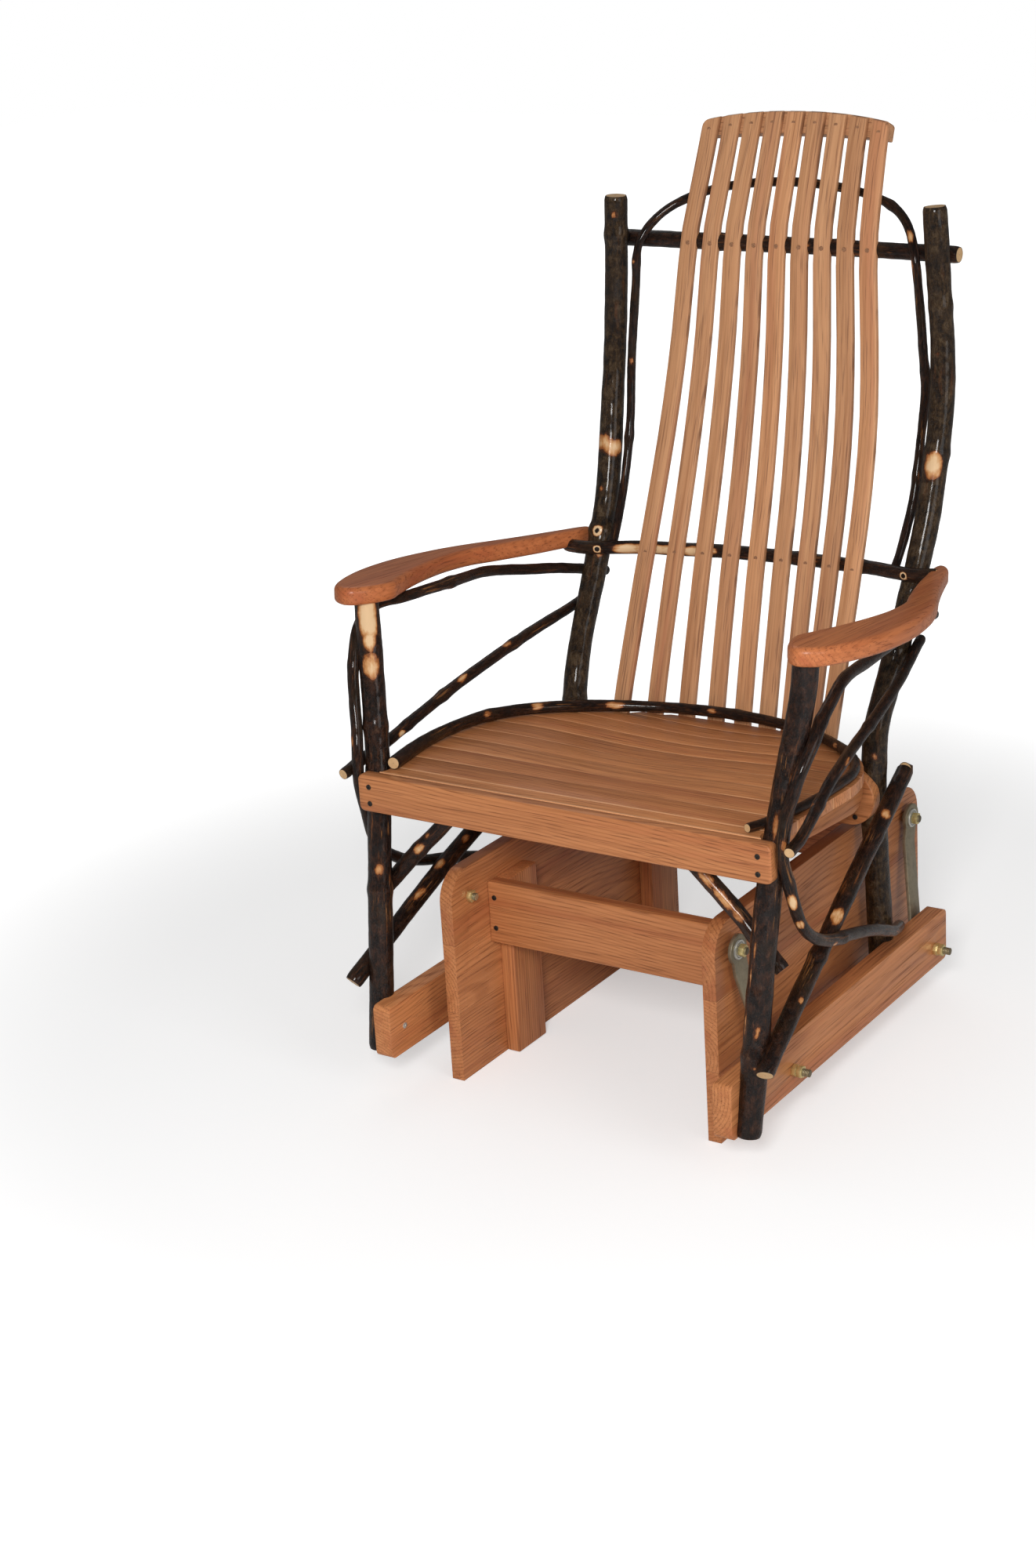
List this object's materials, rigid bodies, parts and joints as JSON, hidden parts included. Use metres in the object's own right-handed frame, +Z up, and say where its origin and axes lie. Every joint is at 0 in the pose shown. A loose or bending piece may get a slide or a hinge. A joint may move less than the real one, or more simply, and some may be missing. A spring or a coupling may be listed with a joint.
{
  "type": "glider rocker chair",
  "caption": "Rustic glider rocker: oak seat, back slats and flat arms on a frame of bark-covered sticks, hung by steel swing links in a plank base.",
  "frame": {"origin": "on the floor, in the middle of the chair's whole width and depth at rest", "axes": "X across the chair to the sitter's left, which is the right in the picture, +Y to the back, +Z up"},
  "size_m": [0.7758, 0.7625, 1.194],
  "materials": {
    "oak": "reddish oak boards under a satin clear coat",
    "hickory_bark": "varnished dark hickory bark with peeled tan patches",
    "peg_oak": "end grain of small oak pegs, satin",
    "galvanized_steel": "dull galvanized steel plate and bearings",
    "yellow_zinc": "yellow zinc plated steel nuts",
    "dark_steel": "dark oxidised screw heads"
  },
  "bodies": {
    "base": {"base_panel_left": "oak", "base_panel_right": "oak", "base_front_rail": "oak", "base_rear_rail": "oak", "base_cleats": "oak", "base_screws": "dark_steel", "upper_pivot_bolts": "galvanized_steel", "upper_pivot_nuts": "yellow_zinc"},
    "link_front_left": {"link_front_left": "galvanized_steel", "bearings_front_left": "galvanized_steel"},
    "link_front_right": {"link_front_right": "galvanized_steel", "bearings_front_right": "galvanized_steel"},
    "link_rear_left": {"link_rear_left": "galvanized_steel", "bearings_rear_left": "galvanized_steel"},
    "link_rear_right": {"link_rear_right": "galvanized_steel", "bearings_rear_right": "galvanized_steel"},
    "chair": {"side_board_left": "oak", "side_board_right": "oak", "lower_pivot_bolts": "galvanized_steel", "lower_pivot_nuts": "yellow_zinc", "front_leg_left": "hickory_bark", "front_leg_right": "hickory_bark", "rear_post_left": "hickory_bark", "rear_post_right": "hickory_bark", "diagonal_brace_left": "hickory_bark", "diagonal_brace_right": "hickory_bark", "knee_brace_left": "hickory_bark", "knee_brace_right": "hickory_bark", "side_bow_left": "hickory_bark", "side_bow_right": "hickory_bark", "side_twig_left": "hickory_bark", "side_twig_right": "hickory_bark", "arm_left": "oak", "arm_right": "oak", "seat_apron": "oak", "seat_rail_left": "oak", "seat_rail_right": "oak", "rear_seat_board": "oak", "seat_slats": "oak", "seat_rim": "hickory_bark", "upper_stick": "hickory_bark", "middle_stick": "hickory_bark", "back_hoop": "hickory_bark", "crest_rail": "oak", "back_slat_1": "oak", "back_slat_2": "oak", "back_slat_3": "oak", "back_slat_4": "oak", "back_slat_5": "oak", "back_slat_6": "oak", "back_slat_7": "oak", "back_slat_8": "oak", "back_slat_9": "oak", "back_pegs": "peg_oak", "frame_screws": "dark_steel"}
  },
  "joints": [
    {"name": "glide", "type": "hinge", "parent": "base", "child": "link_front_left", "pos_m": [-0.216, -0.25925, 0.25465], "axis": [1, 0, 0], "range_deg": [-12, 12]},
    {"name": "front_right_swing", "type": "hinge", "parent": "base", "child": "link_front_right", "pos_m": [0.216, -0.25925, 0.25465], "axis": [1, 0, 0], "range_deg": [-12, 12]},
    {"name": "rear_left_swing", "type": "hinge", "parent": "base", "child": "link_rear_left", "pos_m": [-0.216, 0.23675, 0.25465], "axis": [1, 0, 0], "range_deg": [-12, 12]},
    {"name": "rear_right_swing", "type": "hinge", "parent": "base", "child": "link_rear_right", "pos_m": [0.216, 0.23675, 0.25465], "axis": [1, 0, 0], "range_deg": [-12, 12]},
    {"name": "chair_tilt", "type": "hinge", "parent": "link_front_left", "child": "chair", "pos_m": [-0.236, -0.22025, 0.082], "axis": [1, 0, 0], "range_deg": [-14.25, 14.25]}
  ],
  "couplings": [
    {"joint": "front_right_swing", "follows": "glide", "ratio": 1},
    {"joint": "rear_left_swing", "follows": "glide", "ratio": 0.998},
    {"joint": "rear_right_swing", "follows": "glide", "ratio": 0.998},
    {"joint": "chair_tilt", "follows": "glide", "ratio": -1.185}
  ]
}
